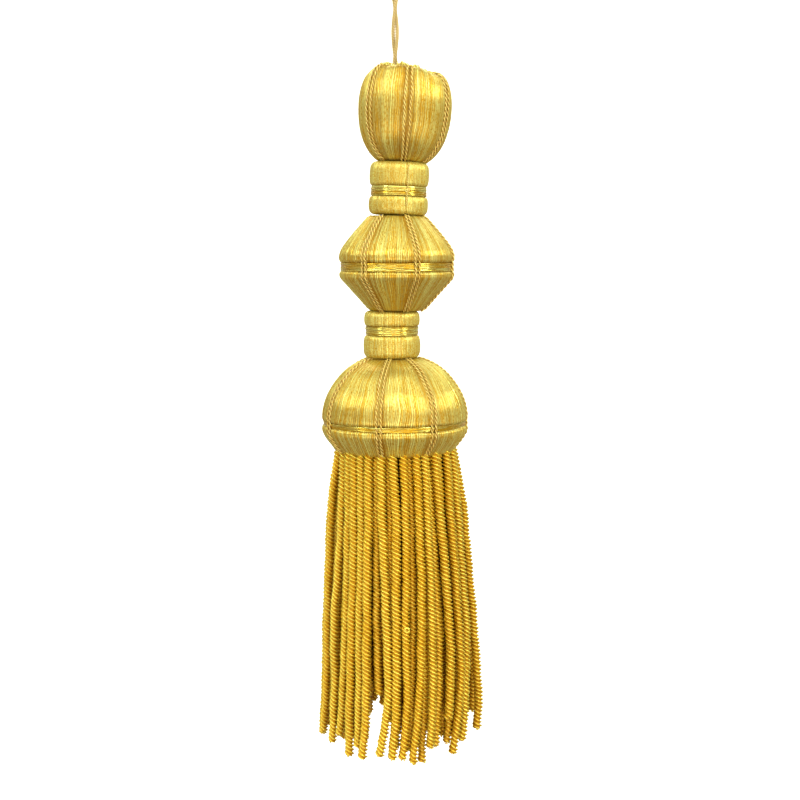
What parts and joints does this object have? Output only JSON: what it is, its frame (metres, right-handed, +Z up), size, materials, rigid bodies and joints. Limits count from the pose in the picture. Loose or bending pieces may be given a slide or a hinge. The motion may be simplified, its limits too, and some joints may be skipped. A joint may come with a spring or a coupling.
{
  "type": "curtain tassel",
  "caption": "Curtain tassel with a looped cord, a stack of thread-wound moulds laid with paired gimp cords, and a hanging skirt of twisted bullion fringe",
  "frame": {"origin": "the inner top of the hanging loop, where a hook or holder bears", "axes": "+Z up along the hanging tassel, +X to the right and -Y to the front as pictured"},
  "size_m": [0.0714, 0.0691, 0.3428],
  "materials": {
    "wound_thread": "satin thread wound lengthwise, golden yellow",
    "band_thread": "bright satin thread wound crosswise, yellow gold",
    "gimp_cord": "two-ply twisted cord, pale gold",
    "bullion_cord": "tightly twisted bullion of three plies, deep golden yellow",
    "loop_cord": "thin twisted cord, dull gold"
  },
  "bodies": {
    "root": {"ball": "wound_thread", "ball_gimp_1": "gimp_cord", "ball_gimp_2": "gimp_cord", "ball_gimp_3": "gimp_cord", "ball_gimp_4": "gimp_cord", "ball_gimp_5": "gimp_cord", "ball_gimp_6": "gimp_cord", "cone_gimp_1": "gimp_cord", "cone_gimp_2": "gimp_cord", "cone_gimp_3": "gimp_cord", "cone_gimp_4": "gimp_cord", "cone_gimp_5": "gimp_cord", "cone_gimp_6": "gimp_cord", "dome": "wound_thread", "dome_band": "band_thread", "dome_gimp_1": "gimp_cord", "dome_gimp_2": "gimp_cord", "dome_gimp_3": "gimp_cord", "dome_gimp_4": "gimp_cord", "dome_gimp_5": "gimp_cord", "dome_gimp_6": "gimp_cord", "dome_gimp_7": "gimp_cord", "double_cone": "wound_thread", "double_cone_band": "band_thread", "hanging_cord": "loop_cord", "neck_lower": "wound_thread", "neck_lower_band": "band_thread", "neck_upper": "wound_thread", "neck_upper_band": "band_thread", "neck_upper_tie": "gimp_cord", "skirt": "bullion_cord"}
  },
  "joints": []
}
